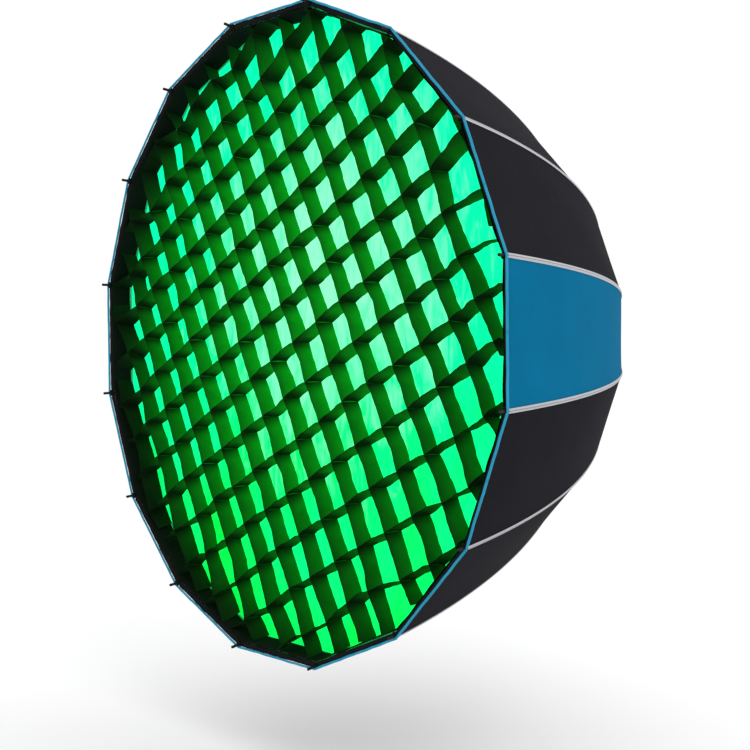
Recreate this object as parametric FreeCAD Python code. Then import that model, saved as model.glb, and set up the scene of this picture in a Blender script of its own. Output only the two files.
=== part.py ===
import FreeCAD, Part
import math
import os

os.makedirs("parts", exist_ok=True)

# Deep sixteen-rib softbox. Millimetres, +Z up, open front towards -Y.
# The origin is the centre of the bayonet ring's seat face, and +Y points to the lamp.

# frame of ribs
ribCount = 16
ribPitch = 360.0 / ribCount
firstRib = ribPitch / 2
rimRadius = 600.0
rodRadius = 2.0
tipAngle = 11.9
rootAngle = 84.0
tipHandle = 358.0
rootHandle = 270.0
rootRadius = 114.0
rootDepth = 697.0

# hub and hinges
pinRadius = 2.0
pinGap = 0.05
pinY = -30.0
holderLength = 34.0
holderWidth = 7.4
holderHeight = 9.0
knuckleRadius = 6.5
socketDepth = 20.0
earGap = 8.0
earThick = 3.0
earRadius = 8.0
hubBore = 46.0
hubOuter = 70.0
hubFront = -44.0
coverFront = -22.0
coverRear = -18.0
coverOuter = 98.0
earRoot = hubOuter - 3
hubChamfer = 1.5
coverLap = 2.0
edgeRound = 1.2
pinHeadExtra = 0.9
pinHeadThick = 0.8
cutMargin = 1.0
edgeFind = 0.1

# bayonet ring for the lamp
lampBore = 43.0
spigotRadius = 49.0
spigotLength = 12.0
seatOuter = 58.0
flangeOuter = 72.0
flangeRear = -12.0
lugCount = 3
lugAngle = 40.0
lugOuter = 53.5
lugStart = 3.0
lugEnd = 7.5
lugBite = 1.0
screwCircle = 64.0
ringScrewRadius = 2.0
ringScrewReach = 18.0
ringScrewHeadRadius = 3.5
ringScrewHeadHeight = 2.6
ringScrewDriveRadius = 1.4
ringScrewDriveDepth = 1.4

# cloth
clothThick = 1.0
clothGap = 2.5
seamGap = 0.5
shellEnd = 124.0
cuffThick = 0.8
bindingWidth = 4.0
bindingThick = 1.0
trimGap = 0.1
clampInner = 91.0
clampThick = 1.6
clampScrewRadius = 1.5
clampScrewReach = 3.4
clampScrewHeadRadius = 2.8
clampScrewHeadHeight = 1.4
cuffLap = 0.3
cuffSpread = 16.0
cuffDrop = 7.0
cuffReach = 8.0
cuffRest = 0.4
loftSteps = 10
searchSteps = 40

# front of the box, measured back from the rim
capRadius = 2.7
capLength = 18.0
capOverlap = 6.0
pipingRadius = 2.0
pipingOffset = 5.7
pipingForward = 1.0
pipingSides = 12
pocketThick = 0.9
pocketLength = 30.0
pocketWidth = 18.0
pocketStart = 7.0
pocketInset = 4.1
lipOuter = 596.0
lipInner = 588.0
lipDepth = 4.0
gridOuter = 587.0
borderThick = 1.0
gridStart = 2.0
gridDepth = 42.0
gridTurn = 27.0
gridPitchU = 74.7
gridPitchV = 79.3
gridShiftU = -29.3
gridShiftV = -35.6
stripThick = 0.8
slotGap = 0.2
stripMargin = 12.0
diffuserDepth = 46.0
diffuserThick = 0.8
diffuserOuter = 586.0
tapeOuter = 582.5
tapeStart = 48.0
tapeWidth = 20.0
tapeThick = 1.0
tapeSplit = 0.05
wedgeReach = 1.2
capStart = 0.5
tapeCount = ribCount // 2

# places worked out from the sizes above
pinCircle = rootRadius - holderLength * math.sin(math.radians(rootAngle))
rootY = pinY - holderLength * math.cos(math.radians(rootAngle))
rimY = rootY - rootDepth
axisY = FreeCAD.Vector(0, 1, 0)
origin = FreeCAD.Vector(0, 0, 0)


def ribAngle(i):
    return firstRib + ribPitch * i


def place(r, y, degrees, side=0.0):
    # point at radius r in the half-plane at this angle, moved sideways round the axis
    a = math.radians(degrees)
    x = r * math.cos(a) - side * math.sin(a)
    z = r * math.sin(a) + side * math.cos(a)
    return FreeCAD.Vector(x, y, z)


def turned(shape, degrees):
    # shapes are drawn in the X-Y plane and turned about the optical axis
    copy = shape.copy()
    copy.rotate(origin, axisY, -degrees)
    return copy


def save(name, shape):
    if not shape.isValid():
        raise ValueError(name + " is not a valid shape")
    print(name, len(shape.Solids), round(shape.Volume, 1))
    shape.exportStep("parts/" + name + ".step")


def disc(radius, y0, y1):
    return Part.makeCylinder(radius, y1 - y0, FreeCAD.Vector(0, y0, 0), axisY)


def ring(inner, outer, y0, y1):
    return disc(outer, y0, y1).cut(disc(inner, y0 - cutMargin, y1 + cutMargin))


def polygonFace(points):
    return Part.Face(Part.makePolygon(points + [points[0]]))


def polygonPrism(radius, y0, y1):
    points = [place(radius, y0, ribAngle(i)) for i in range(ribCount)]
    return polygonFace(points).extrude(FreeCAD.Vector(0, y1 - y0, 0))


def polygonRing(inner, outer, y0, y1):
    return polygonPrism(outer, y0, y1).cut(polygonPrism(inner, y0 - cutMargin, y1 + cutMargin))


# the rib's line, in the X-Y plane
tipTangent = FreeCAD.Vector(-math.sin(math.radians(tipAngle)), math.cos(math.radians(tipAngle)), 0)
rootTangent = FreeCAD.Vector(math.sin(math.radians(rootAngle)), -math.cos(math.radians(rootAngle)), 0)
ribTip = FreeCAD.Vector(rimRadius, rimY, 0)
ribRoot = FreeCAD.Vector(rootRadius, rootY, 0)
hingePin = ribRoot - rootTangent * holderLength
ribCurve = Part.BezierCurve()
ribCurve.setPoles([ribTip, ribTip + tipTangent * tipHandle, ribRoot + rootTangent * rootHandle, ribRoot])


def outside(t, gap):
    # radius and depth of the point this far outside the rib's line
    p = ribCurve.value(t)
    d = ribCurve.tangent(t)[0]
    return p.x + d.y * gap, p.y - d.x * gap


def makeRod():
    end = ribTip - tipTangent * capOverlap
    start = ribRoot - rootTangent * socketDepth
    front = Part.LineSegment(end, ribTip).toShape()
    back = Part.LineSegment(ribRoot, start).toShape()
    path = Part.Wire([front, ribCurve.toShape(), back])
    section = Part.Wire(Part.Circle(end, tipTangent, rodRadius).toShape())
    return path.makePipeShell([section], True, False)


def makeCap():
    start = ribTip - tipTangent * capStart
    cap = Part.makeCylinder(capRadius, capLength, start, tipTangent * -1)
    nose = cap.Edges[0]
    for edge in cap.Edges:
        if edge.Closed and edge.CenterOfMass.y < nose.CenterOfMass.y:
            nose = edge
    cap = cap.makeFillet(edgeRound, [nose])
    bore = Part.makeCylinder(rodRadius, capOverlap, ribTip, tipTangent * -1)
    return cap.cut(bore)


def makeHolder():
    width = FreeCAD.Vector(0, 0, 1)
    low = hingePin - width * (holderWidth / 2)
    knuckle = Part.makeCylinder(knuckleRadius, holderWidth, low, width)
    corner = FreeCAD.Vector(0, -holderHeight / 2, -holderWidth / 2)
    arm = Part.makeBox(holderLength, holderHeight, holderWidth, corner)
    ends = [e for e in arm.Edges if e.CenterOfMass.x > holderLength - edgeFind]
    arm = arm.makeFillet(edgeRound, ends)
    arm.rotate(origin, width, rootAngle - 90)
    arm.translate(hingePin)
    body = knuckle.fuse(arm).removeSplitter()
    hole = Part.makeCylinder(pinRadius + pinGap, holderWidth + 2 * cutMargin, low - width * cutMargin, width)
    start = ribRoot - rootTangent * socketDepth
    socket = Part.makeCylinder(rodRadius, socketDepth + cutMargin, start, rootTangent)
    return body.cut(hole).cut(socket)


def makeHub():
    hub = ring(hubBore, hubOuter, hubFront, coverFront)
    hub = hub.makeChamfer(hubChamfer, [e for e in hub.Edges if e.CenterOfMass.y < hubFront + edgeFind])
    pieces = []
    for i in range(ribCount):
        for side in (-1, 1):
            z0 = side * (earGap / 2 + earThick / 2) - earThick / 2
            base = Part.makeBox(pinCircle - earRoot, 2 * earRadius, earThick,
                                FreeCAD.Vector(earRoot, pinY - earRadius, z0))
            nose = Part.makeCylinder(earRadius, earThick, FreeCAD.Vector(pinCircle, pinY, z0))
            ear = base.fuse(nose).removeSplitter()
            pieces.append(turned(ear, ribAngle(i)))
    hub = hub.fuse(pieces).removeSplitter()
    length = earGap + 2 * earThick
    holes = []
    for i in range(ribCount):
        start = FreeCAD.Vector(pinCircle, pinY, -length / 2 - cutMargin)
        hole = Part.makeCylinder(pinRadius, length + 2 * cutMargin, start)
        holes.append(turned(hole, ribAngle(i)))
    for degrees in ringScrewAngles():
        holes.append(turned(ringScrewHole(), degrees))
    return hub.cut(Part.makeCompound(holes))


def ringScrewAngles():
    return [0.0, 90.0, 180.0, 270.0]


def ringScrewHole():
    start = FreeCAD.Vector(screwCircle, coverRear - ringScrewReach, 0)
    return Part.makeCylinder(ringScrewRadius, 2 * ringScrewReach, start, axisY)


def makeRingScrew():
    start = FreeCAD.Vector(screwCircle, coverRear - ringScrewReach, 0)
    seat = FreeCAD.Vector(screwCircle, flangeRear, 0)
    shank = Part.makeCylinder(ringScrewRadius, flangeRear - coverRear + ringScrewReach, start, axisY)
    head = Part.makeCylinder(ringScrewHeadRadius, ringScrewHeadHeight, seat, axisY)
    bottom = seat + axisY * (ringScrewHeadHeight - ringScrewDriveDepth)
    drive = Part.makeCylinder(ringScrewDriveRadius, ringScrewDriveDepth + cutMargin, bottom, axisY)
    return shank.fuse(head).cut(drive)


def makeHingePin():
    length = earGap + 2 * earThick
    shank = Part.makeCylinder(pinRadius, length, FreeCAD.Vector(pinCircle, pinY, -length / 2))
    heads = []
    for z in (-length / 2 - pinHeadThick, length / 2):
        where = FreeCAD.Vector(pinCircle, pinY, z)
        heads.append(Part.makeCylinder(pinRadius + pinHeadExtra, pinHeadThick, where))
    return shank.fuse(heads).removeSplitter()


def clampScrewAngles():
    return [ribPitch * 2 * i for i in range(ribCount // 2)]


def clampScrewHole():
    middle = (clampInner + coverOuter) / 2
    start = FreeCAD.Vector(middle, coverRear - clampScrewReach, 0)
    return Part.makeCylinder(clampScrewRadius, 4 * clampScrewReach, start, axisY)


def makeCover():
    cover = ring(hubBore + coverLap, coverOuter, coverFront, coverRear)
    holes = [turned(ringScrewHole(), a) for a in ringScrewAngles()]
    holes += [turned(clampScrewHole(), a) for a in clampScrewAngles()]
    return cover.cut(Part.makeCompound(holes))


def makeClampRing():
    y0 = coverRear + cuffThick
    clamp = ring(clampInner, coverOuter, y0, y0 + clampThick)
    return clamp.cut(Part.makeCompound([turned(clampScrewHole(), a) for a in clampScrewAngles()]))


def makeClampScrew():
    middle = (clampInner + coverOuter) / 2
    top = coverRear + cuffThick + clampThick
    start = FreeCAD.Vector(middle, coverRear - clampScrewReach, 0)
    shank = Part.makeCylinder(clampScrewRadius, top - start.y, start, axisY)
    seat = FreeCAD.Vector(middle, top, 0)
    head = Part.makeCylinder(clampScrewHeadRadius, clampScrewHeadHeight, seat, axisY)
    return shank.fuse(head)


def makeCuff():
    # cloth collar from the clamp ring, over the cover's edge and out over the rod holders
    r, y = outside(shellEndAt(), clothGap + clothThick + cuffRest)
    over = coverOuter + cuffLap
    shoulder = coverRear - cuffDrop
    low = [(clampInner, coverRear), (over, coverRear)]
    low += [(over + cuffSpread, shoulder), (r + cuffReach, y - cuffRest)]
    high = [(a, b + cuffThick) for a, b in reversed(low)]
    face = polygonFace([FreeCAD.Vector(a, b, 0) for a, b in low + high])
    cuff = face.revolve(origin, axisY, 360)
    return cuff.cut(Part.makeCompound([turned(clampScrewHole(), a) for a in clampScrewAngles()]))


def makeBayonetRing():
    body = ring(lampBore, flangeOuter, coverRear, flangeRear)
    seat = ring(lampBore, seatOuter, flangeRear, 0)
    spigot = ring(lampBore, spigotRadius, 0, spigotLength)
    body = body.fuse([seat, spigot])
    lugs = []
    for i in range(lugCount):
        block = ring(spigotRadius - lugBite, lugOuter, lugStart, lugEnd)
        wedge = Part.makeCylinder(seatOuter, spigotLength, origin, axisY, lugAngle)
        wedge.rotate(origin, axisY, i * 360.0 / lugCount)
        lugs.append(block.common(wedge))
    body = body.fuse(lugs).removeSplitter()
    return body.cut(Part.makeCompound([turned(ringScrewHole(), a) for a in ringScrewAngles()]))


def shellEndAt():
    # the curve's parameter where the panels stop, short of the rod holders
    low = 0.5
    high = 1.0
    for step in range(searchSteps):
        middle = (low + high) / 2
        if ribCurve.value(middle).x > shellEnd:
            low = middle
        else:
            high = middle
    return low


def crossSection(corners):
    return Part.makePolygon(corners + [corners[0]])


def makePanel(i):
    sections = []
    last = shellEndAt()
    for step in range(loftSteps + 1):
        t = last * step / loftSteps
        inner = outside(t, clothGap)
        outer = outside(t, clothGap + clothThick)
        a = ribAngle(i)
        b = ribAngle(i + 1)
        corners = [chordPoint(inner, a, b), chordPoint(inner, b, a)]
        corners += [chordPoint(outer, b, a), chordPoint(outer, a, b)]
        sections.append(crossSection(corners))
    return Part.makeLoft(sections, True, False)


def chordPoint(where, here, there):
    # the panel's corner by one rib, a seam's half-gap along the chord to the next
    p = place(where[0], where[1], here)
    q = place(where[0], where[1], there)
    step = q - p
    return p + step * (seamGap / step.Length)


def makeBinding(i, side):
    # one flank of the folded tape over a seam, lying along the panel on that side
    sections = []
    last = shellEndAt()
    here = ribAngle(i)
    for step in range(loftSteps + 1):
        t = last * step / loftSteps
        corners = []
        for gap, inward in ((trimGap, False), (trimGap + bindingThick, True)):
            r, y = outside(t, clothGap + clothThick + gap)
            p = place(r, y, here)
            q = place(r, y, here + side * ribPitch)
            edge = p + (q - p) * (bindingWidth / (q - p).Length)
            corners += [edge, p] if inward else [p, edge]
        sections.append(crossSection(corners))
    return Part.makeLoft(sections, True, False)


def makePiping():
    # round welt along the rim, mitred at the ribs
    lengths = []
    stretch = math.cos(math.radians(ribPitch / 2))
    for i in range(ribCount):
        ends = []
        for degrees in (ribAngle(i), ribAngle(i + 1)):
            corners = []
            for k in range(pipingSides):
                a = 2 * math.pi * k / pipingSides
                r = rimRadius + pipingOffset + pipingRadius * math.cos(a) / stretch
                corners.append(place(r, rimY + pipingRadius * math.sin(a) - pipingForward, degrees))
            ends.append(Part.makePolygon(corners + [corners[0]]))
        lengths.append(Part.makeLoft(ends, True, True))
    return Part.makeCompound(lengths)


def makePocket():
    # reinforcing patch inside the rod near its tip
    corner = FreeCAD.Vector(-pocketInset, pocketStart, -pocketWidth / 2)
    patch = Part.makeBox(pocketThick, pocketLength, pocketWidth, corner)
    patch.rotate(origin, FreeCAD.Vector(0, 0, 1), tipAngle)
    patch.translate(ribTip)
    return patch


def stripPlaces(pitch, shift):
    # where the strips of one direction stand, out to the border
    limit = gridOuter - borderThick - stripMargin
    count = int(limit / pitch) + 2
    places = [shift + pitch * n for n in range(-count, count + 1)]
    return [where for where in places if abs(where) < limit]


def makeStrips(places, crossings, turn, slotStart):
    # plain strips one way, each slotted over half its depth where the other strips cross it
    limit = gridOuter - borderThick - trimGap
    y0 = rimY + gridStart
    inside = polygonPrism(limit, y0, y0 + gridDepth)
    slotWide = stripThick + 2 * slotGap
    slotDeep = gridDepth / 2 + slotGap + cutMargin
    strips = []
    for where in places:
        strip = Part.makeBox(stripThick, gridDepth, 2 * limit, FreeCAD.Vector(where, y0, -limit))
        slots = []
        for z in crossings:
            corner = FreeCAD.Vector(where - cutMargin, slotStart, z - slotWide / 2)
            slots.append(Part.makeBox(stripThick + 2 * cutMargin, slotDeep, slotWide, corner))
        strip = strip.cut(Part.makeCompound(slots))
        strips.append(turned(strip, turn).common(inside))
    return Part.makeCompound(strips)


def makeTape(k):
    # hook tape on the diffuser's edge, round two sides of the rim and centred on a rib
    y0 = rimY + tapeStart
    whole = polygonRing(tapeOuter - tapeThick, tapeOuter, y0, y0 + tapeWidth)
    middle = ribAngle(2 * k)
    reach = tapeOuter * wedgeReach
    points = [place(0, y0 - cutMargin, 0)]
    for turn in (-ribPitch + tapeSplit, 0, ribPitch - tapeSplit):
        points.append(place(reach, y0 - cutMargin, middle + turn))
    wedge = polygonFace(points).extrude(FreeCAD.Vector(0, tapeWidth + 2 * cutMargin, 0))
    return whole.common(wedge)


rod = makeRod()
cap = makeCap()
holder = makeHolder()
for i in range(ribCount):
    number = "%02d" % (i + 1)
    save("rib_rod_" + number, turned(Part.makeCompound([rod, cap]), ribAngle(i)))
    save("rod_holder_" + number, turned(holder, ribAngle(i)))
for k in range(tapeCount):
    save("diffuser_tape_%02d" % (k + 1), makeTape(k))

save("hub_body", makeHub())
save("hub_cover", makeCover())
save("hinge_pins", Part.makeCompound([turned(makeHingePin(), ribAngle(i)) for i in range(ribCount)]))
save("bayonet_ring", makeBayonetRing())
save("bayonet_screws", Part.makeCompound([turned(makeRingScrew(), a) for a in ringScrewAngles()]))
save("cuff_clamp_ring", makeClampRing())
save("clamp_screws", Part.makeCompound([turned(makeClampScrew(), a) for a in clampScrewAngles()]))
save("rear_cuff", makeCuff())

bluePanels = (ribCount - 1, ribCount // 2 - 1)
blackPanels = [i for i in range(ribCount) if i not in bluePanels]
save("black_panels", Part.makeCompound([makePanel(i) for i in blackPanels]))
save("blue_panels", Part.makeCompound([makePanel(i) for i in bluePanels]))
save("seam_bindings", Part.makeCompound([makeBinding(i, side) for i in range(ribCount) for side in (-1, 1)]))
save("rim_piping", makePiping())
save("front_lip", polygonRing(lipInner, lipOuter, rimY + lipDepth, rimY + lipDepth + clothThick))
save("rod_pockets", Part.makeCompound([turned(makePocket(), ribAngle(i)) for i in range(ribCount)]))
diffuserStart = rimY + diffuserDepth
save("front_diffuser", polygonPrism(diffuserOuter, diffuserStart, diffuserStart + diffuserThick))
gridFront = rimY + gridStart
save("grid_border", polygonRing(gridOuter - borderThick, gridOuter, gridFront, gridFront + gridDepth))

longPlaces = stripPlaces(gridPitchU, gridShiftU)
crossPlaces = stripPlaces(gridPitchV, gridShiftV)
longCrossings = [v + stripThick / 2 for v in crossPlaces]
crossCrossings = [-u - stripThick / 2 for u in longPlaces]
middleY = rimY + gridStart + gridDepth / 2
save("grid_strips_long", makeStrips(longPlaces, longCrossings, gridTurn, middleY - slotGap))
crossTurn = gridTurn + 90
save("grid_strips_cross", makeStrips(crossPlaces, crossCrossings, crossTurn, gridFront - cutMargin))
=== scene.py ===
import math
import bpy
from mathutils import Matrix, Vector


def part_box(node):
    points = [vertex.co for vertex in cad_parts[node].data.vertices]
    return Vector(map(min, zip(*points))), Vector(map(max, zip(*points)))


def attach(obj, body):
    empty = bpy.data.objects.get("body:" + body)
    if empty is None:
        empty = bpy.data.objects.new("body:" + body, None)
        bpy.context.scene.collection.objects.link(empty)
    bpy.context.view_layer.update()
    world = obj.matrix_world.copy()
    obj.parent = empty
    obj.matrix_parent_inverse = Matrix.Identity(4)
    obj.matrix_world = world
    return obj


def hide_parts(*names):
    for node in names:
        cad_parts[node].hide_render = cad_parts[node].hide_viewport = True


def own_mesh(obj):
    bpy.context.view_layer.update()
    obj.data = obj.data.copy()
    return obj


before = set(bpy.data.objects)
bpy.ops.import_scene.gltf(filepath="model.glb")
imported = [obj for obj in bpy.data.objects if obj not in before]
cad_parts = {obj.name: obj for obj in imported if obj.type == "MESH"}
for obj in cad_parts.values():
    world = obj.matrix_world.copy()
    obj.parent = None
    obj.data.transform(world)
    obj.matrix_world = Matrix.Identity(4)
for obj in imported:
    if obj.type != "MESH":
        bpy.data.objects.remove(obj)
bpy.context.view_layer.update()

ribCount = 16
ribPitch = 2 * math.pi / ribCount
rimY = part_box("grid_border")[0].y - 0.002  # the rim plane stands just before the grid

rib = {"rimRadius": 0.600, "tipAngle": 11.9, "rootAngle": 84.0, "tipHandle": 0.358,
       "rootHandle": 0.270, "rootRadius": 0.114, "rootDepth": 0.697, "shellEnd": 0.124}


def ribName(i):
    return "%02d" % (i % ribCount + 1)


def ribAngle(i):
    return ribPitch * (i + 0.5)


def place(r, y, angle, side=0.0):
    # radius, depth, angle round the optical axis, then a step sideways
    x = r * math.cos(angle) - side * math.sin(angle)
    z = r * math.sin(angle) + side * math.cos(angle)
    return Vector((x, y, z))


def ribPoles():
    tip, root = math.radians(rib["tipAngle"]), math.radians(rib["rootAngle"])
    a = Vector((rib["rimRadius"], rimY))
    d = Vector((rib["rootRadius"], rimY + rib["rootDepth"]))
    b = a + Vector((-math.sin(tip), math.cos(tip))) * rib["tipHandle"]
    c = d + Vector((math.sin(root), -math.cos(root))) * rib["rootHandle"]
    return a, b, c, d


poles = ribPoles()


def ribLine(t, gap=0.0):
    # a point of the bowed rib as radius and depth, moved out by gap
    a, b, c, d = poles
    s = 1 - t
    p = a * s ** 3 + b * 3 * s * s * t + c * 3 * s * t * t + d * t ** 3
    q = (b - a) * 3 * s * s + (c - b) * 6 * s * t + (d - c) * 3 * t * t
    q.normalize()
    return p + Vector((q.y, -q.x)) * gap


def curveAt(radius):
    # where along the rib it comes in to this radius
    low, high = 0.0, 1.0
    for step in range(40):
        middle = (low + high) / 2
        if ribLine(middle).x > radius:
            low = middle
        else:
            high = middle
    return low


def wave(x, y, seed=0.0):
    # soft unevenness between -1 and 1, the same on every run
    a = math.sin(1.7 * x + 2.3 * y + seed) + math.sin(3.1 * x - 1.9 * y + 1.3 * seed + 1.0)
    b = math.sin(5.3 * x + 0.7 * y + 2.1 * seed + 2.0) + math.sin(0.9 * x + 4.7 * y - seed)
    return (a + b) / 4


def smooth(x):
    x = min(1.0, max(0.0, x))
    return x * x * (3 - 2 * x)


# ---- materials

def newMaterial(name):
    material = bpy.data.materials.new(name)
    material.use_nodes = True
    tree = material.node_tree
    shader = next(n for n in tree.nodes if n.type == "BSDF_PRINCIPLED")
    return material, tree, shader


def addNode(tree, kind, **settings):
    node = tree.nodes.new(kind)
    for key, value in settings.items():
        if key in node.inputs:
            node.inputs[key].default_value = value
        else:
            setattr(node, key, value)
    return node


def coordinates(tree, source, scale=(1, 1, 1)):
    texture = tree.nodes.new("ShaderNodeTexCoord")
    mapping = addNode(tree, "ShaderNodeMapping", Scale=scale)
    tree.links.new(texture.outputs[source], mapping.inputs["Vector"])
    return mapping.outputs["Vector"]


def mathNode(tree, operation, a, b=None):
    node = addNode(tree, "ShaderNodeMath", operation=operation)
    for index, value in enumerate((a, b)):
        if value is None:
            continue
        if isinstance(value, (int, float)):
            node.inputs[index].default_value = value
        else:
            tree.links.new(value, node.inputs[index])
    return node.outputs[0]


def noiseNode(tree, vector, scale, detail=3.0, roughness=0.5, distortion=0.0):
    node = addNode(tree, "ShaderNodeTexNoise", Scale=scale, Detail=detail, Roughness=roughness, Distortion=distortion)
    tree.links.new(vector, node.inputs["Vector"])
    return node.outputs["Fac"]


def rampNode(tree, factor, stops):
    node = tree.nodes.new("ShaderNodeValToRGB")
    while len(node.color_ramp.elements) < len(stops):
        node.color_ramp.elements.new(0.5)
    for element, (position, colour) in zip(node.color_ramp.elements, stops):
        element.position = position
        element.color = (*colour, 1)
    tree.links.new(factor, node.inputs["Fac"])
    return node.outputs["Color"]


def bumpNode(tree, shader, height, strength, distance):
    node = addNode(tree, "ShaderNodeBump", Strength=strength, Distance=distance)
    tree.links.new(height, node.inputs["Height"])
    tree.links.new(node.outputs["Normal"], shader.inputs["Normal"])


def weaveHeight(tree, vector, pitch):
    # plain weave: warp and weft threads, one over and one under
    split = tree.nodes.new("ShaderNodeSeparateXYZ")
    tree.links.new(vector, split.inputs[0])
    turn = 2 * math.pi / pitch
    warp = mathNode(tree, "SINE", mathNode(tree, "MULTIPLY", split.outputs["X"], turn))
    weft = mathNode(tree, "SINE", mathNode(tree, "MULTIPLY", split.outputs["Y"], turn))
    return mathNode(tree, "ADD", mathNode(tree, "MULTIPLY", mathNode(tree, "MULTIPLY", warp, weft), 0.5), 0.5)


def wovenCloth(name, dark, light, pitch=0.0012, roughness=0.8, sheen=0.0, sheenTint=(0.6, 0.62, 0.7, 1), bump=0.25,
               specular=0.1, wrinkle=0.0):
    # cloth with threads that follow the piece's own UV in metres
    material, tree, shader = newMaterial(name)
    vector = coordinates(tree, "UV")
    threads = weaveHeight(tree, vector, pitch)
    worn = noiseNode(tree, coordinates(tree, "Object"), 9.0, 5.0, 0.6)
    slub = noiseNode(tree, coordinates(tree, "UV", (40, 900, 1)), 1.0, 2.0)
    tone = mathNode(tree, "ADD", mathNode(tree, "MULTIPLY", threads, 0.35), mathNode(tree, "MULTIPLY", worn, 0.45))
    tone = mathNode(tree, "ADD", tone, mathNode(tree, "MULTIPLY", slub, 0.2))
    tree.links.new(rampNode(tree, tone, ((0.25, dark), (0.75, light))), shader.inputs["Base Color"])
    rough = mathNode(tree, "ADD", mathNode(tree, "MULTIPLY", worn, 0.14), roughness - 0.07)
    tree.links.new(rough, shader.inputs["Roughness"])
    shader.inputs["Specular IOR Level"].default_value = specular
    shader.inputs["Sheen Weight"].default_value = sheen
    shader.inputs["Sheen Roughness"].default_value = 0.45
    shader.inputs["Sheen Tint"].default_value = sheenTint
    height = mathNode(tree, "ADD", threads, mathNode(tree, "MULTIPLY", slub, 0.5))
    drawn = noiseNode(tree, coordinates(tree, "UV", (26, 5, 1)), 1.0, 3.0, 0.55, 0.8)  # faint drawn creases along the rib
    height = mathNode(tree, "ADD", height, mathNode(tree, "MULTIPLY", drawn, wrinkle))
    bumpNode(tree, shader, height, bump, 0.0004)
    return material


def silverLining():
    material, tree, shader = newMaterial("silverLining")
    vector = coordinates(tree, "UV")
    crease = noiseNode(tree, coordinates(tree, "Object"), 14.0, 6.0, 0.62, 0.8)
    threads = weaveHeight(tree, vector, 0.003)
    tree.links.new(rampNode(tree, crease, ((0.3, (0.5, 0.5, 0.52)), (0.7, (0.78, 0.78, 0.8)))), shader.inputs["Base Color"])
    shader.inputs["Metallic"].default_value = 0.85
    tree.links.new(mathNode(tree, "ADD", mathNode(tree, "MULTIPLY", crease, 0.2), 0.26), shader.inputs["Roughness"])
    height = mathNode(tree, "ADD", mathNode(tree, "MULTIPLY", threads, 0.5), crease)
    bumpNode(tree, shader, height, 0.3, 0.001)
    return material


# colours and strength of the diffuser's painted glow
glow = {"strength": 1.2, "low": (0.0, 1.0, 0.06), "middle": (0.0, 1.0, 0.33), "high": (0.0, 1.0, 0.41), "mint": (0.27, 1.0, 0.53),
        "streak": 0.24, "centre": (0.07, 0.12)}


def diffuserGlow():
    # diffusion cloth with its backlight painted in as a glow of its own, and painted green in its base colour: cyan
    # above on the left, mint in the middle, green below, with soft streaks
    material, tree, shader = newMaterial("diffuserGlow")
    split = tree.nodes.new("ShaderNodeSeparateXYZ")
    tree.links.new(coordinates(tree, "Object"), split.inputs[0])
    x, z = split.outputs["X"], split.outputs["Z"]
    folds = noiseNode(tree, coordinates(tree, "Object", (1.0, 1.0, 0.35)), 9.0, 4.0, 0.55, 0.6)
    streaks = noiseNode(tree, coordinates(tree, "Object", (1.0, 1.0, 0.3)), 38.0, 3.0, 0.6, 1.2)
    broad = noiseNode(tree, coordinates(tree, "Object"), 2.6, 2.0)
    slope = mathNode(tree, "ADD", mathNode(tree, "MULTIPLY", z, 0.9), mathNode(tree, "MULTIPLY", x, 0.1))
    slope = mathNode(tree, "ADD", slope, mathNode(tree, "MULTIPLY", folds, 0.5))
    slope = mathNode(tree, "ADD", slope, mathNode(tree, "MULTIPLY", broad, 0.6))
    base = rampNode(tree, slope, ((0.05, glow["low"]), (0.5, glow["middle"]), (0.85, glow["high"])))
    acrossX, acrossZ = mathNode(tree, "SUBTRACT", x, glow["centre"][0]), mathNode(tree, "SUBTRACT", z, glow["centre"][1])
    far = mathNode(tree, "SQRT", mathNode(tree, "ADD", mathNode(tree, "MULTIPLY", acrossX, acrossX),
                                          mathNode(tree, "MULTIPLY", acrossZ, acrossZ)))
    near = mathNode(tree, "SUBTRACT", 1.15, mathNode(tree, "MULTIPLY", far, 2.9))
    near = mathNode(tree, "ADD", near, mathNode(tree, "MULTIPLY", mathNode(tree, "SUBTRACT", folds, 0.5), 0.9))
    near = mathNode(tree, "ADD", near, mathNode(tree, "MULTIPLY", mathNode(tree, "SUBTRACT", streaks, 0.5), 1.8))
    blend = addNode(tree, "ShaderNodeMix", data_type="RGBA", clamp_factor=True)
    tree.links.new(near, blend.inputs["Factor"])
    tree.links.new(base, blend.inputs[6])
    blend.inputs[7].default_value = (*glow["mint"], 1)
    tree.links.new(blend.outputs[2], shader.inputs["Emission Color"])
    dim = mathNode(tree, "MULTIPLY", mathNode(tree, "SUBTRACT", streaks, 0.5), glow["streak"] * 4)
    bright = mathNode(tree, "MINIMUM", mathNode(tree, "ADD", dim, glow["strength"]), glow["strength"])
    tree.links.new(bright, shader.inputs["Emission Strength"])
    # painted green light in the cloth's base colour, varied by the folds
    tree.links.new(rampNode(tree, folds, ((0.3, (0.004, 0.22, 0.05)), (0.7, (0.008, 0.3, 0.07)))), shader.inputs["Base Color"])
    shader.inputs["Roughness"].default_value = 0.9
    shader.inputs["Specular IOR Level"].default_value = 0.1
    threads = weaveHeight(tree, coordinates(tree, "UV"), 0.0015)
    bumpNode(tree, shader, threads, 0.2, 0.0004)
    return material


# strength and falloff of the green light painted onto the grid walls, and depth of their painted corner shade
wallPaintedGlow = {"front": 0.10, "back": 0.32, "shade": 0.94, "far": 0.64, "centre": (-0.05, 0.08), "rim": 0.93, "rimCentre": 0.05}


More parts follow.
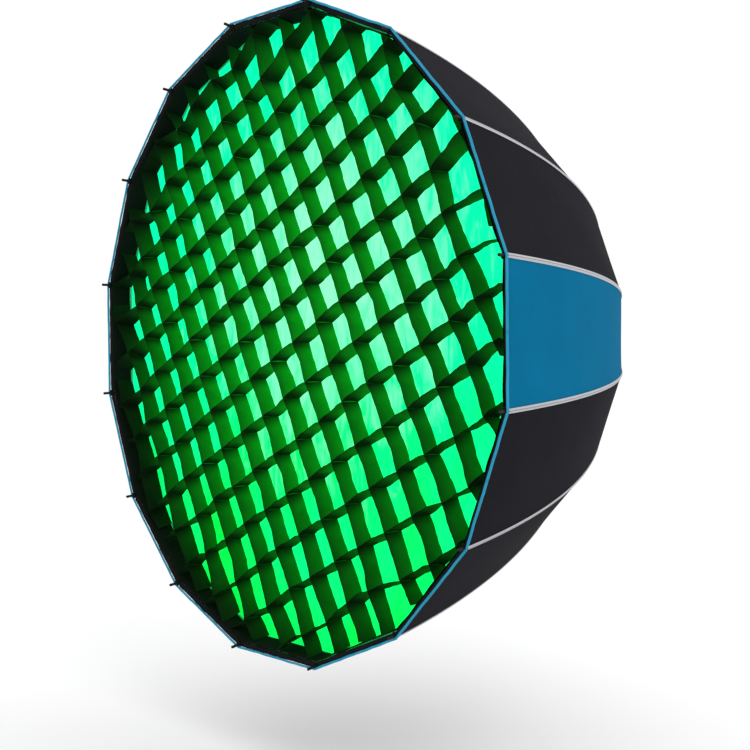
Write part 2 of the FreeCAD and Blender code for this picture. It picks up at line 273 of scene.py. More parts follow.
def fadeFrom(tree, centre, start, end, low):
    # 1 near a point of the front, falling to low between two distances from it
    split = tree.nodes.new("ShaderNodeSeparateXYZ")
    tree.links.new(coordinates(tree, "Object"), split.inputs[0])
    x = mathNode(tree, "SUBTRACT", split.outputs["X"], centre[0])
    z = mathNode(tree, "SUBTRACT", split.outputs["Z"], centre[1])
    away = mathNode(tree, "SQRT", mathNode(tree, "ADD", mathNode(tree, "MULTIPLY", x, x), mathNode(tree, "MULTIPLY", z, z)))
    return rangeNode(tree, away, start, end, 1.0, low)


def rangeNode(tree, value, start, end, low, high):
    node = addNode(tree, "ShaderNodeMapRange", interpolation_type="SMOOTHSTEP", clamp=True)
    for socket, setting in (("From Min", start), ("From Max", end), ("To Min", low), ("To Max", high)):
        node.inputs[socket].default_value = setting
    tree.links.new(value, node.inputs["Value"])
    return node.outputs["Result"]


def gridWallCloth(name, shadeStart, shadeEnd, level):
    # black strip with the diffuser's green light painted on as a glow of its own and a faint green tint in its base
    # colour: brightest by the diffuser, with painted shade in the cell's upper corner
    # UV x counts cells along the strip, UV y runs from its front edge to its back edge
    material, tree, shader = newMaterial(name)
    split = tree.nodes.new("ShaderNodeSeparateXYZ")
    tree.links.new(coordinates(tree, "UV"), split.inputs[0])
    part = mathNode(tree, "FRACT", split.outputs["X"])
    depth = split.outputs["Y"]
    threads = weaveHeight(tree, coordinates(tree, "UV", (0.077, 0.042, 1)), 0.0014)
    mottled = noiseNode(tree, coordinates(tree, "Object"), 26.0, 4.0, 0.6, 0.5)
    wander = mathNode(tree, "ADD", part, mathNode(tree, "MULTIPLY", mathNode(tree, "SUBTRACT", mottled, 0.5), 0.25))
    wander = mathNode(tree, "SUBTRACT", wander, mathNode(tree, "MULTIPLY", depth, 0.10 if shadeEnd > shadeStart else -0.10))
    # painted shade in the cell's upper corner
    corner = rangeNode(tree, wander, shadeStart, shadeEnd, 1.0, 1.0 - wallPaintedGlow["shade"])
    # painted light, brighter from the front edge towards the back edge by the diffuser
    rise = mathNode(tree, "POWER", depth, 0.8)
    light = mathNode(tree, "ADD", mathNode(tree, "MULTIPLY", rise, wallPaintedGlow["back"] - wallPaintedGlow["front"]), wallPaintedGlow["front"])
    light = mathNode(tree, "MULTIPLY", light, corner)
    # painted light fading away from the middle of the front, and again towards the rim
    fade = fadeFrom(tree, wallPaintedGlow["centre"], 0.12, 0.64, 1.0 - wallPaintedGlow["far"])
    light = mathNode(tree, "MULTIPLY", light, fade)
    fade = fadeFrom(tree, (wallPaintedGlow["rimCentre"], 0.0), 0.49, 0.615, 1.0 - wallPaintedGlow["rim"])
    light = mathNode(tree, "MULTIPLY", light, fade)
    light = mathNode(tree, "MULTIPLY", light, mathNode(tree, "ADD", mathNode(tree, "MULTIPLY", mottled, 0.7), 0.65))
    tree.links.new(mathNode(tree, "MULTIPLY", light, level), shader.inputs["Emission Strength"])
    # the painted glow is green
    shader.inputs["Emission Color"].default_value = (0.0, 1.0, 0.02, 1)
    tone = mathNode(tree, "ADD", mathNode(tree, "MULTIPLY", threads, 0.4), mathNode(tree, "MULTIPLY", mottled, 0.6))
    # the faint green in this black cloth's base colour is painted light
    tree.links.new(rampNode(tree, tone, ((0.3, (0.002, 0.006, 0.002)), (0.7, (0.005, 0.014, 0.005)))), shader.inputs["Base Color"])
    shader.inputs["Roughness"].default_value = 0.95
    shader.inputs["Specular IOR Level"].default_value = 0.03
    bumpNode(tree, shader, threads, 0.4, 0.0004)
    return material


def hardMaterial(name, dark, light, metallic, roughness, grain, bump, specular=0.5):
    # moulded or cast surface with fine grain, paler where it is handled
    material, tree, shader = newMaterial(name)
    vector = coordinates(tree, "Object")
    speck = noiseNode(tree, vector, grain, 4.0, 0.6)
    smear = noiseNode(tree, vector, 28.0, 4.0, 0.6)
    tree.links.new(rampNode(tree, smear, ((0.3, dark), (0.72, light))), shader.inputs["Base Color"])
    shader.inputs["Metallic"].default_value = metallic
    rough = mathNode(tree, "ADD", mathNode(tree, "MULTIPLY", smear, 0.2), roughness - 0.1)
    tree.links.new(rough, shader.inputs["Roughness"])
    shader.inputs["Specular IOR Level"].default_value = specular
    bumpNode(tree, shader, speck, bump, 0.0004)
    return material


def turnedMetal(name, dark, light, roughness):
    # lathe rings round the optical axis
    material, tree, shader = newMaterial(name)
    split = tree.nodes.new("ShaderNodeSeparateXYZ")
    tree.links.new(coordinates(tree, "Object"), split.inputs[0])
    x, z = split.outputs["X"], split.outputs["Z"]
    radius = mathNode(tree, "SQRT", mathNode(tree, "ADD", mathNode(tree, "MULTIPLY", x, x), mathNode(tree, "MULTIPLY", z, z)))
    rings = mathNode(tree, "SINE", mathNode(tree, "MULTIPLY", mathNode(tree, "ADD", radius, split.outputs["Y"]), 9000.0))
    smear = noiseNode(tree, coordinates(tree, "Object"), 30.0, 4.0)
    tree.links.new(rampNode(tree, smear, ((0.3, dark), (0.7, light))), shader.inputs["Base Color"])
    shader.inputs["Metallic"].default_value = 1.0
    tree.links.new(mathNode(tree, "ADD", mathNode(tree, "MULTIPLY", smear, 0.18), roughness - 0.09), shader.inputs["Roughness"])
    bumpNode(tree, shader, rings, 0.15, 0.0002)
    return material


def seamTape():
    # folded tape: bright weave with a stitched groove along the middle, its dark tone painted shade, UV x runs across
    # it
    material, tree, shader = newMaterial("seamTape")
    vector = coordinates(tree, "UV")
    split = tree.nodes.new("ShaderNodeSeparateXYZ")
    tree.links.new(vector, split.inputs[0])
    across = mathNode(tree, "ABSOLUTE", split.outputs["X"])
    groove = mathNode(tree, "SMOOTH_MIN", mathNode(tree, "MULTIPLY", across, 900.0), 1.0)
    stitch = mathNode(tree, "SINE", mathNode(tree, "MULTIPLY", split.outputs["Y"], 2 * math.pi / 0.004))
    ribbed = mathNode(tree, "SINE", mathNode(tree, "MULTIPLY", split.outputs["Y"], 2 * math.pi / 0.0012))
    tone = mathNode(tree, "ADD", mathNode(tree, "MULTIPLY", groove, 0.7), mathNode(tree, "MULTIPLY", ribbed, 0.08))
    tone = mathNode(tree, "ADD", tone, mathNode(tree, "MULTIPLY", noiseNode(tree, coordinates(tree, "Object"), 30.0), 0.2))
    # the dark tone in the groove is painted shade
    tree.links.new(rampNode(tree, tone, ((0.1, (0.07, 0.07, 0.08)), (0.75, (0.38, 0.38, 0.41)))), shader.inputs["Base Color"])
    shader.inputs["Roughness"].default_value = 0.55
    shader.inputs["Sheen Weight"].default_value = 0.2
    height = mathNode(tree, "ADD", groove, mathNode(tree, "ADD", mathNode(tree, "MULTIPLY", stitch, 0.25), mathNode(tree, "MULTIPLY", ribbed, 0.2)))
    bumpNode(tree, shader, height, 0.5, 0.0006)
    return material


shellBlack = wovenCloth("shellBlack", (0.006, 0.006, 0.009), (0.015, 0.0145, 0.019), specular=0.03, wrinkle=14.0)
shellBlue = wovenCloth("shellBlue", (0.0, 0.105, 0.22), (0.002, 0.148, 0.285), specular=0.02, wrinkle=10.0)
silver = silverLining()
blackHem = wovenCloth("blackHem", (0.003, 0.003, 0.0035), (0.011, 0.011, 0.012), pitch=0.0016, specular=0.05)
cuffCloth = wovenCloth("cuffCloth", (0.006, 0.006, 0.0065), (0.022, 0.022, 0.024), pitch=0.0018, specular=0.08, bump=0.5)
# the faint green in this black cloth's base colour is painted light from the diffuser
borderCloth = wovenCloth("borderCloth", (0.002, 0.004, 0.0025), (0.007, 0.013, 0.008), pitch=0.0016, specular=0.03)
pipingBlue = wovenCloth("pipingBlue", (0.010, 0.20, 0.34), (0.024, 0.32, 0.48), pitch=0.0015, roughness=0.6, specular=0.1)
seamGrey = seamTape()
lit = diffuserGlow()
gridLong = gridWallCloth("gridLong", 0.62, 1.0, 1.0)  # steep walls, with painted shade under the next shallow wall
gridCross = gridWallCloth("gridCross", 0.66, 0.12, 0.9)  # shallow walls, with painted shade at their left end
rodBlack = hardMaterial("rodBlack", (0.004, 0.004, 0.0045), (0.014, 0.014, 0.015), 0.0, 0.5, 2400.0, 0.2, specular=0.2)
holderBlack = hardMaterial("holderBlack", (0.02, 0.02, 0.022), (0.07, 0.07, 0.075), 0.7, 0.38, 1600.0, 0.15)
hubBlack = hardMaterial("hubBlack", (0.03, 0.03, 0.033), (0.08, 0.08, 0.085), 0.6, 0.5, 900.0, 0.3)
coverPlastic = hardMaterial("coverPlastic", (0.016, 0.016, 0.018), (0.04, 0.04, 0.043), 0.0, 0.55, 1500.0, 0.4)
steel = hardMaterial("steel", (0.3, 0.3, 0.31), (0.55, 0.55, 0.56), 1.0, 0.3, 3000.0, 0.1)
bareAluminium = turnedMetal("bareAluminium", (0.36, 0.36, 0.37), (0.56, 0.56, 0.57), 0.36)
print("materials made")

cadFinish = {"hub_body": hubBlack, "hub_cover": coverPlastic, "hinge_pins": steel, "bayonet_ring": bareAluminium,
             "bayonet_screws": steel, "cuff_clamp_ring": holderBlack, "clamp_screws": steel}
for i in range(ribCount):
    cadFinish["rib_rod_" + ribName(i)] = rodBlack
    cadFinish["rod_holder_" + ribName(i)] = holderBlack
for node, finish in cadFinish.items():
    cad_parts[node].material_slots[0].material = finish
print("CAD nodes finished")


# ---- making cloth

def clothPatch(name, across, along, shape, facing, uv):
    # a flat primitive grid whose points are moved to shape(u, v), facing the given way
    bpy.ops.object.select_all(action="DESELECT")
    bpy.ops.mesh.primitive_grid_add(x_subdivisions=across, y_subdivisions=along, size=1)
    patch = bpy.context.object
    patch.name = name
    mesh = patch.data
    at = [(v.co.x + 0.5, v.co.y + 0.5) for v in mesh.vertices]
    layer = mesh.uv_layers.active.data
    for loop in mesh.loops:
        layer[loop.index].uv = uv(*at[loop.vertex_index])
    for v, (s, t) in zip(mesh.vertices, at):
        v.co = shape(s, t)
    mesh.update()
    middle = mesh.polygons[len(mesh.polygons) // 2]
    if middle.normal.dot(facing(middle.center)) < 0:
        mesh.flip_normals()
    mesh.polygons.foreach_set("use_smooth", [True] * len(mesh.polygons))
    return patch


def joined(name, parts):
    bpy.ops.object.select_all(action="DESELECT")
    for part in parts:
        part.select_set(True)
    bpy.context.view_layer.objects.active = parts[0]
    if len(parts) > 1:
        bpy.ops.object.join()
    whole = bpy.context.object
    whole.name = name
    whole.data.name = name
    return whole


def applyModifier(piece, kind, **settings):
    bpy.ops.object.select_all(action="DESELECT")
    piece.select_set(True)
    bpy.context.view_layer.objects.active = piece
    modifier = piece.modifiers.new(kind.title(), kind)
    for key, value in settings.items():
        setattr(modifier, key, value)
    bpy.ops.object.modifier_apply(modifier=modifier.name)


def thicken(piece, thickness, offset=-1.0, inside=0):
    applyModifier(piece, "SOLIDIFY", thickness=thickness, offset=offset, use_even_offset=False,
                  use_quality_normals=True, material_offset=inside)
    bpy.ops.object.shade_smooth_by_angle(angle=math.radians(50))


def outward(point):
    return Vector((point.x, 0.35, point.z))


# ---- shell, in bands along each rib

shell = {"bands": (0.0, 0.11, 0.26, 0.43, 0.62, 0.80), "keep": (0.22, 0.345, 0.478, 0.62, 0.765, 0.93), "gap": 0.0030,
         "thick": 0.0005, "across": 12, "along": 12, "ripple": 0.0009, "seamGap": 0.0006, "end": 0.1160,
         "lap": 0.016, "lapDrop": 0.0013, "rimKeep": 0.135}
bandCurve = list(shell["bands"]) + [curveAt(shell["end"])]
bluePanels = (ribCount - 1, ribCount // 2 - 1)  # panels are counted from the rib before them


def panelPoint(i, side, s, t, gap):
    # s from the rib (0) to the middle of the panel (1), t along the rib
    flat = ribLine(t, gap)
    here, there = ribAngle(i), ribAngle(i) + side * ribPitch
    p, q = place(flat.x, flat.y, here), place(flat.x, flat.y, there)
    chord = (q - p).length
    share = (shell["seamGap"] / chord) * (1 - s) + 0.5 * s
    point = p.lerp(q, share)
    middle = (here + there) / 2
    inward = Vector((math.cos(middle), 0.45, math.sin(middle))) * -1
    loose = smooth(t / 0.08) * smooth((1 - t) / 0.2) * smooth(s / 0.3)
    return point + inward * shell["ripple"] * wave(point.x * 9, point.z * 9 + point.y * 7, 0.5) * loose


def arcLength(t):
    steps = 24
    total = 0.0
    for k in range(steps):
        total += (ribLine(t * (k + 1) / steps) - ribLine(t * k / steps)).length
    return total


def makeShell(i, band):
    halves = []
    anyBlue = False
    start, end = bandCurve[band], bandCurve[band + 1]
    lap = shell["lap"] if band + 1 < len(shell["keep"]) else 0.0  # laps under the next band
    rows = shell["along"] - (1 if lap else 0)
    lengthStart, lengthEnd = arcLength(start), arcLength(end + lap)

    def rowCurve(t):
        u = t * shell["along"]
        return start + (end - start) * min(u, rows) / rows + lap * max(0.0, u - rows)

    for side in (1, -1):
        panel = i if side == 1 else (i - 1) % ribCount

        def shape(s, t):
            under = shell["lapDrop"] * max(0.0, t * shell["along"] - rows)
            return panelPoint(i, side, s, rowCurve(t), shell["gap"] + shell["thick"] - under)

        def uv(s, t):
            half = ribLine(rowCurve(t)).x * math.sin(ribPitch / 2)
            return (side * s * half, lengthStart + (lengthEnd - lengthStart) * t)

        half = clothPatch("half", shell["across"], shell["along"], shape, outward, uv)
        for material in (shellBlack, silver, shellBlue, silver):
            half.data.materials.append(material)
        blue = panel in bluePanels
        half.data.polygons.foreach_set("material_index", [2 if blue else 0] * len(half.data.polygons))
        anyBlue = anyBlue or blue
        halves.append(half)
    piece = joined("shell_%s_%d" % (ribName(i), band + 1), halves)
    thicken(piece, shell["thick"], inside=1)
    width = 2 * ribLine(start).x * math.sin(ribPitch / 2)
    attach(piece, "rib_" + ribName(i))
    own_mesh(piece)
    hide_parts("black_panels", "blue_panels")
    return piece


for i in range(ribCount):
    for band in range(len(shell["keep"])):
        makeShell(i, band)
print("shell made")


# ---- binding tape over each seam, piping and lip round the rim

tape = {"flatWidth": 0.015, "half": 0.0040, "gap": 0.0046, "rise": 0.0008, "thick": 0.0007, "across": 6, "along": 60}


def makeTape(i):
    last = bandCurve[-1]
    whole = arcLength(last)

    def shape(s, t):
        x = (s - 0.5) * 2
        curve = last * t
        flat = ribLine(curve, tape["gap"] + tape["rise"] * (1 - x * x) - 0.0005 * math.exp(-(x * 6) ** 2))
        width = tape["half"] * (0.72 + 0.28 * smooth(flat.x / rib["rimRadius"]))
        drop = abs(x) * width * math.tan(ribPitch / 2) * 0.9
        return place(flat.x - drop, flat.y, ribAngle(i), x * width)

    piece = clothPatch("seam_tape_" + ribName(i), tape["across"], tape["along"], shape, outward,
                       lambda s, t: ((s - 0.5) * 2 * tape["half"], whole * t))
    piece.data.materials.append(seamGrey)
    thicken(piece, tape["thick"])
    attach(piece, "rib_" + ribName(i))
    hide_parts("seam_bindings")


piping = {"radius": 0.0022, "out": 0.0056, "back": -0.0021, "around": 10, "along": 24}


def rimPoint(i, x, radius, y):
    # along the rim's two half sides by rib i: x from -1 to 1, 0 at the rib
    here, there = ribAngle(i), ribAngle(i) + (ribPitch if x > 0 else -ribPitch)
    return place(radius, y, here).lerp(place(radius, y, there), abs(x) / 2)


def makePiping(i):
    def shape(s, t):
        x = (t - 0.5) * 2
        turn = 2 * math.pi * s
        bow = 0.0012 * math.sin(math.pi * abs(x)) * wave(i * 1.3, x * 4)
        radius = rib["rimRadius"] + piping["out"] + piping["radius"] * math.cos(turn) + bow
        return rimPoint(i, x, radius, rimY + piping["back"] + piping["radius"] * math.sin(turn))

    side = 2 * rib["rimRadius"] * math.sin(ribPitch / 2)
    piece = clothPatch("rim_piping_" + ribName(i), piping["around"], piping["along"], shape,
                       lambda p: Vector((0, 0, 0)), lambda s, t: (s * 0.013, t * side))
    bpy.ops.object.mode_set(mode="EDIT")
    bpy.ops.mesh.select_all(action="SELECT")
    bpy.ops.mesh.remove_doubles(threshold=0.00005)
    bpy.ops.mesh.select_all(action="DESELECT")
    bpy.ops.mesh.select_non_manifold()
    bpy.ops.mesh.edge_face_add()
    bpy.ops.mesh.select_all(action="SELECT")
    bpy.ops.mesh.normals_make_consistent(inside=False)
    bpy.ops.object.mode_set(mode="OBJECT")
    piece.data.materials.append(pipingBlue)
    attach(piece, "rib_" + ribName(i))
    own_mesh(piece)
    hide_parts("rim_piping")


lip = {"outer": 0.6040, "notch": 0.0070, "notchWidth": 26, "face": ((0.0, -0.0008), (0.0036, -0.0018), (0.0068, 0.0004),
       (0.0095, 0.0036)), "thick": 0.0006, "across": 9, "along": 48, "ripple": 0.0007}


def alongLines(points, s):
    # a point of a bent line, s from 0 at its start to 1 at its end
    x = s * (len(points) - 1)
    n = min(int(x), len(points) - 2)
    f = x - n
    return tuple(a + (b - a) * f for a, b in zip(points[n], points[n + 1]))


def makeLip(i):
    def shape(s, t):
        x = (t - 0.5) * 2
        drop, y = alongLines(lip["face"], s)
        notch = lip["notch"] * math.exp(-(x * lip["notchWidth"]) ** 4)  # cut in beside the rod
        drop = max(drop, notch + s * 0.0025)
        y = max(y, notch * 0.25) + lip["ripple"] * wave(i * 2.1 + x * 5, s * 3)
        return rimPoint(i, x, lip["outer"] - drop, rimY + y)

    side = 2 * rib["rimRadius"] * math.sin(ribPitch / 2)
    piece = clothPatch("lip_" + ribName(i), lip["across"], lip["along"], shape, lambda p: Vector((0, -1, 0)),
                       lambda s, t: (s * 0.018, t * side))
    piece.data.materials.append(blackHem)
    thicken(piece, lip["thick"])
    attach(piece, "rib_" + ribName(i))
    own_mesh(piece)
    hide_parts("front_lip", "rod_pockets")


eyelet = {"across": 0.0049, "wire": 0.0019, "forward": 0.0016, "around": 24, "section": 8}


def makeEyelet(i):
    # stitched eyelet in the hem, where the rod's end cap comes through
    tip = math.radians(rib["tipAngle"])
    a = ribAngle(i)
    forward = Vector((math.sin(tip) * math.cos(a), -math.cos(tip), math.sin(tip) * math.sin(a)))
    bpy.ops.object.select_all(action="DESELECT")
    bpy.ops.mesh.primitive_torus_add(major_radius=eyelet["across"], minor_radius=eyelet["wire"],
                                     major_segments=eyelet["around"], minor_segments=eyelet["section"])
    piece = bpy.context.object
    piece.name = "rod_eyelet_" + ribName(i)
    turn = forward.to_track_quat("Z", "Y")
    centre = place(rib["rimRadius"], rimY, a) + forward * eyelet["forward"]
    for v in piece.data.vertices:
        v.co.z += 0.0002 * wave(v.co.x * 4000, v.co.y * 4000)  # stitches
        v.co = turn @ v.co + centre
    piece.data.polygons.foreach_set("use_smooth", [True] * len(piece.data.polygons))
    piece.data.materials.append(blackHem)
    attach(piece, "rib_" + ribName(i))
    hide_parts("rod_pockets")


for i in range(ribCount):
    makeTape(i)
    makePiping(i)
    makeLip(i)
    makeEyelet(i)
print("tape, piping and lip made")


# ---- front cloth: diffuser and eggcrate grid, in eight sectors that turn with the rim

front = {"sectors": 8, "keep": 0.13, "diffuserRadius": 0.5862, "diffuserDepth": 0.0460, "diffuserThick": 0.0005,
         "billow": 0.0035, "across": 40, "along": 30}


def sectorAngle(k):
    return ribAngle(2 * k)


def finishSector(piece, k):
    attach(piece, "front_edge_%02d" % (k + 1))
    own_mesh(piece)


def rimRadiusAt(angle, circum):
    # distance from the axis to the sixteen-sided outline in this direction
    base = circum * math.cos(ribPitch / 2)
    return base / math.cos(cornerOffset(angle))


def cornerOffset(angle):
    # angle from the middle of the side that this direction meets
    turns = angle / ribPitch
    return (turns - round(turns)) * ribPitch


def makeDiffuser(k):
    middle = sectorAngle(k)

    def shape(s, t):
        angle = middle + (s - 0.5) * 2 * ribPitch
        radius = rimRadiusAt(angle, front["diffuserRadius"]) * (0.004 + 0.996 * t)
        p = place(radius, 0, angle)
        edge = smooth((1 - t) / 0.12)
        y = rimY + front["diffuserDepth"] + front["billow"] * (0.6 + wave(p.x * 6, p.z * 6, 2.0)) * edge
        return Vector((p.x, y, p.z))

    piece = clothPatch("diffuser_%02d" % (k + 1), front["across"], front["along"], shape,
                       lambda p: Vector((0, -1, 0)), lambda s, t: ((s - 0.5) * 0.45 * t, t * 0.58))
    piece.data.materials.append(lit)
    thicken(piece, front["diffuserThick"])
    finishSector(piece, k)
    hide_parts("front_diffuser", "diffuser_tape_%02d" % (k + 1))


grid = {"turn": math.radians(27), "pitchU": 0.0747, "pitchV": 0.0793, "shiftU": -0.0293, "shiftV": -0.0356,
        "depth": 0.0380, "start": 0.002, "radius": 0.5855, "thick": 0.0006, "jitter": 0.0018, "slack": 0.009,
        "arch": 0.0034, "lean": 0.001, "flare": 0.0135, "bow": 0.0022, "kink": 0.0009, "dip": 0.005, "step": 0.0056,
        "belly": 0.0025, "clear": 0.0022}


border = {"radius": 0.5866, "flare": 0.0075, "ripple": 0.0012, "across": 48, "along": 4}


def borderRadius(angle, t):
    # the border's distance from the axis in this direction, t from its front edge (0) to its back (1)
    return rimRadiusAt(angle, border["radius"] + border["flare"] * (1 - t))


def uneven(*numbers):
    # a repeatable number from -1 to 1 for each wall, crossing or cell
    total = sum(n * m for n, m in zip(numbers, (12.9898, 78.233, 37.719, 4.581)))
    value = math.sin(total) * 43758.5453
    return 2 * (value - math.floor(value)) - 1


def crossing(i, j, level):
    # where wall i of the first set meets wall j of the second; level 0 is the front edge, 1 the back
    u, v = grid["shiftU"] + grid["pitchU"] * i, grid["shiftV"] + grid["pitchV"] * j
    loose = grid["jitter"] + grid["slack"] * smooth((math.hypot(u, v) - 0.40) / 0.17)
    u += loose * (uneven(i, j, 1) + 0.7 * uneven(i, j, 2 + level))
    v += loose * (uneven(i, j, 4) + 0.7 * uneven(i, j, 5 + level))
    return Vector((u, v))


def wallPoint(family, n, along, level):
    # point of a wall at this distance along it; the front edges of the shallow walls arch up like awnings
    pitch, shift = (grid["pitchV"], grid["shiftV"]) if family == 0 else (grid["pitchU"], grid["shiftU"])
    cell = math.floor((along - shift) / pitch)
    part = (along - shift) / pitch - cell
    a = crossing(n, cell, level) if family == 0 else crossing(cell, n, level)
    b = crossing(n, cell + 1, level) if family == 0 else crossing(cell + 1, n, level)
    p = a.lerp(b, part)
    across = Vector((1, 0)) if family == 0 else Vector((0, 1))
    hump = math.sin(math.pi * part)
    bow = grid["bow"] * (uneven(n, cell, 7 + family) + 0.6 * uneven(n, cell, 9 + family + level)) * hump
    bow += grid["bow"] * 0.5 * uneven(n, cell, 11 + family + level) * math.sin(3 * math.pi * part)
    bow += grid["kink"] * wave(along * 260 + n, family * 5.0 + level * 3.0, n * 0.7) * hump
    if level < 0.5 and family == 1:
        bow += grid["arch"] * (1 + 0.3 * uneven(n, cell, 15)) * max(hump, 0.0) ** 0.5
    elif level < 0.5:
        bow += grid["lean"] * hump
    p = p + across * bow
    if level < 0.5:
        p = p * (1 + grid["flare"] * smooth((p.length - 0.50) / 0.085))
    y = rimY + grid["start"] + grid["depth"] * level
    if level < 0.5:
        droop = 0.6 + 0.4 * uneven(n, cell, 13 + family)
        y += grid["dip"] * droop * hump ** 2 * (1.0 if family == 1 else 0.5)
    c, s = math.cos(grid["turn"]), math.sin(grid["turn"])
    return Vector((p.x * c - p.y * s, y, p.x * s + p.y * c))


def basePoint(family, n, along):
    # the same wall before it is bowed
    line = (grid["shiftU"] + grid["pitchU"] * n) if family == 0 else (grid["shiftV"] + grid["pitchV"] * n)
    u, v = (line, along) if family == 0 else (along, line)
    c, s = math.cos(grid["turn"]), math.sin(grid["turn"])
    return u * c - v * s, u * s + v * c


def stretches(family, n, k):
    # the lengths of this wall that lie in sector k, found in small steps and closed in on
    def within(along):
        x, z = basePoint(family, n, along)
        angle = math.atan2(z, x)
        off = (angle - sectorAngle(k) + math.pi) % (2 * math.pi) - math.pi
        return abs(off) <= ribPitch and math.hypot(x, z) < rimRadiusAt(angle, grid["radius"]) - 0.0004

    def edge(inside, outside):
        for step in range(24):
            middle = (inside + outside) / 2
            if within(middle):
                inside = middle
            else:
                outside = middle
        return inside

    found = []
    reach, step = 0.60, 0.004
    start = None
    steps = int(2 * reach / step)
    for m in range(steps + 1):
        along = -reach + m * step
        if within(along) and start is None:
            start = edge(along, along - step)
        if not within(along) and start is not None:
            found.append((start, edge(along - step, along)))
            start = None
    return [f for f in found if f[1] - f[0] > 0.002]


def makeWall(family, n, span):
    length = span[1] - span[0]
    along = max(1, round(length / grid["step"]))

    def shape(s, t):
        at = span[0] + length * s
        a, b = wallPoint(family, n, at, 0), wallPoint(family, n, at, 1)
        p = a.lerp(b, t)
        belly = grid["belly"] * math.sin(math.pi * t) * wave(at * 40, n * 2.0, family * 3.0)
        p.x += belly * math.cos(grid["turn"] + family * math.pi / 2)
        p.z += belly * math.sin(grid["turn"] + family * math.pi / 2)
        away = math.hypot(p.x, p.z)
        limit = borderRadius(math.atan2(p.z, p.x), t) - grid["clear"]
        if away > limit:
            p.x, p.z = p.x * limit / away, p.z * limit / away
        return p

    pitch, shift = (grid["pitchV"], grid["shiftV"]) if family == 0 else (grid["pitchU"], grid["shiftU"])
    return clothPatch("wall", along, 4, shape, lambda p: Vector((0, 0, 0)),
                      lambda s, t: ((span[0] + length * s - shift) / pitch, t))


def makeBorder(k):
    middle = sectorAngle(k)

    def shape(s, t):
        angle = middle + (s - 0.5) * 2 * ribPitch
        radius = borderRadius(angle, t)
        ripple = border["ripple"] * (wave(angle * 14, t * 1.5, 4.0) - 1)
        y = rimY + grid["start"] + grid["depth"] * t + 0.003 * wave(angle * 9, 0, 1.0) * (1 - t)
        return place(radius + ripple, y, angle)

    return clothPatch("border", border["across"], border["along"], shape, lambda p: Vector((-p.x, 0, -p.z)),
                      lambda s, t: (s * 0.46, t * grid["depth"]))


def makeGrid(k):
    walls = []
    for family, pitch in ((0, grid["pitchU"]), (1, grid["pitchV"])):
        count = int(0.6 / pitch) + 1
        for n in range(-count, count + 1):
            for span in stretches(family, n, k):
                wall = makeWall(family, n, span)
                wall.data.polygons.foreach_set("material_index", [family] * len(wall.data.polygons))
                walls.append(wall)
    edge = makeBorder(k)
    edge.data.polygons.foreach_set("material_index", [2] * len(edge.data.polygons))
    for part in walls + [edge]:
        for material in (gridLong, gridCross, borderCloth):
            part.data.materials.append(material)
    piece = joined("eggcrate_%02d" % (k + 1), walls + [edge])
    thicken(piece, grid["thick"], offset=0.0)
    finishSector(piece, k)
    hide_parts("grid_strips_long", "grid_strips_cross", "grid_border")


for k in range(front["sectors"]):
    makeDiffuser(k)
    makeGrid(k)
print("front cloth made")


# ---- rear cuff round the hub

cuff = {"inner": 0.0912, "over": 0.0984, "outer": 0.1320, "thick": 0.0006, "across": 20, "along": 160, "pucker": 0.0016}


def makeCuff():
    low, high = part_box("rear_cuff")

    def shape(s, t):
        angle = 2 * math.pi * t
        lengths = ((cuff["inner"], high.y - 0.0002), (cuff["over"], high.y - 0.0002),
                   (cuff["over"] + 0.016, high.y - 0.0072), (cuff["outer"], low.y + 0.0012))
        x = s * (len(lengths) - 1)
        n = min(int(x), len(lengths) - 2)
        f = x - n
        r = lengths[n][0] + (lengths[n + 1][0] - lengths[n][0]) * f
        y = lengths[n][1] + (lengths[n + 1][1] - lengths[n][1]) * f
        loose = smooth((s - 0.35) / 0.4)
        y += cuff["pucker"] * loose * math.sin(64 * angle + 2 * math.sin(5 * angle)) * 0.6
        return place(r, y, angle)

    piece = clothPatch("rear_cuff", cuff["across"], cuff["along"], shape, lambda p: Vector((0, 1, 0)),
                       lambda s, t: (s * 0.05, t * 0.7))
    bpy.ops.object.mode_set(mode="EDIT")
    bpy.ops.mesh.select_all(action="SELECT")
    bpy.ops.mesh.remove_doubles(threshold=0.00005)
    bpy.ops.object.mode_set(mode="OBJECT")
    piece.data.materials.append(cuffCloth)
    thicken(piece, cuff["thick"])
    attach(piece, "hub")
    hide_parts("rear_cuff")


makeCuff()
print("cuff made")


# ---- floor, light and camera

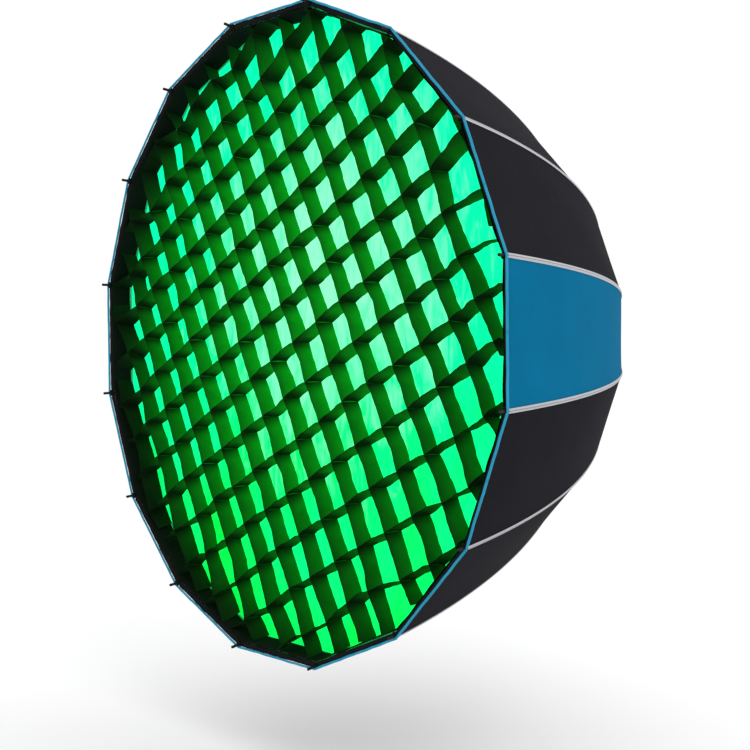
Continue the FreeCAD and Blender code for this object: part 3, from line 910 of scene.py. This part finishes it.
view = {"lens": 63.955, "turn": 49.091, "rise": 1.447, "roll": -0.523, "distance": 2.4301, "right": 0.18619, "up": -0.07157,
        "size": 1.0095}


def makeCamera():
    a, e, roll = (math.radians(view[k]) for k in ("turn", "rise", "roll"))
    back = Vector((math.sin(a) * math.cos(e), -math.cos(a) * math.cos(e), math.sin(e)))
    right = Vector((math.cos(a), math.sin(a), 0))
    up = back.cross(right)
    x = right * math.cos(roll) + up * math.sin(roll)
    y = up * math.cos(roll) - right * math.sin(roll)
    eye = Vector((0, rimY, 0)) + (back * view["distance"] + right * view["right"] + up * view["up"]) * view["size"]
    bpy.ops.object.camera_add(location=eye)
    camera = bpy.context.object
    camera.matrix_world = Matrix((
        (x.x, y.x, back.x, eye.x), (x.y, y.y, back.y, eye.y), (x.z, y.z, back.z, eye.z), (0, 0, 0, 1)))
    camera.data.lens = view["lens"]
    camera.data.sensor_width = 36
    bpy.context.scene.camera = camera


studio = {"floor": -0.80, "size": 60.0, "world": 1.04}


def makeStudio():
    bpy.ops.mesh.primitive_plane_add(size=studio["size"], location=(0, 0, studio["floor"]))
    floor = bpy.context.object
    floor.name = "floor"
    material, tree, shader = newMaterial("paleFloor")
    shader.inputs["Base Color"].default_value = (0.97, 0.97, 0.97, 1)
    shader.inputs["Roughness"].default_value = 0.9
    floor.data.materials.append(material)
    world = bpy.data.worlds.new("studio")
    world.use_nodes = True
    sky = next(n for n in world.node_tree.nodes if n.type == "BACKGROUND")
    sky.inputs["Color"].default_value = (1, 1, 1, 1)
    sky.inputs["Strength"].default_value = studio["world"]
    bpy.context.scene.world = world
    for name, spot, power, size in (("key", (2.6, -1.6, 2.4), 22, 1.8), ("rear", (1.5, 2.6, 2.0), 18, 2.0)):
        bpy.ops.object.light_add(type="AREA", location=spot)
        lamp = bpy.context.object
        lamp.name = name
        lamp.data.energy = power
        lamp.data.size = size
        lamp.rotation_euler = (Vector((0, rimY / 2, 0)) - Vector(spot)).to_track_quat("-Z", "Y").to_euler()
    bpy.context.scene.view_settings.view_transform = "Standard"


makeCamera()
makeStudio()
print("studio made")
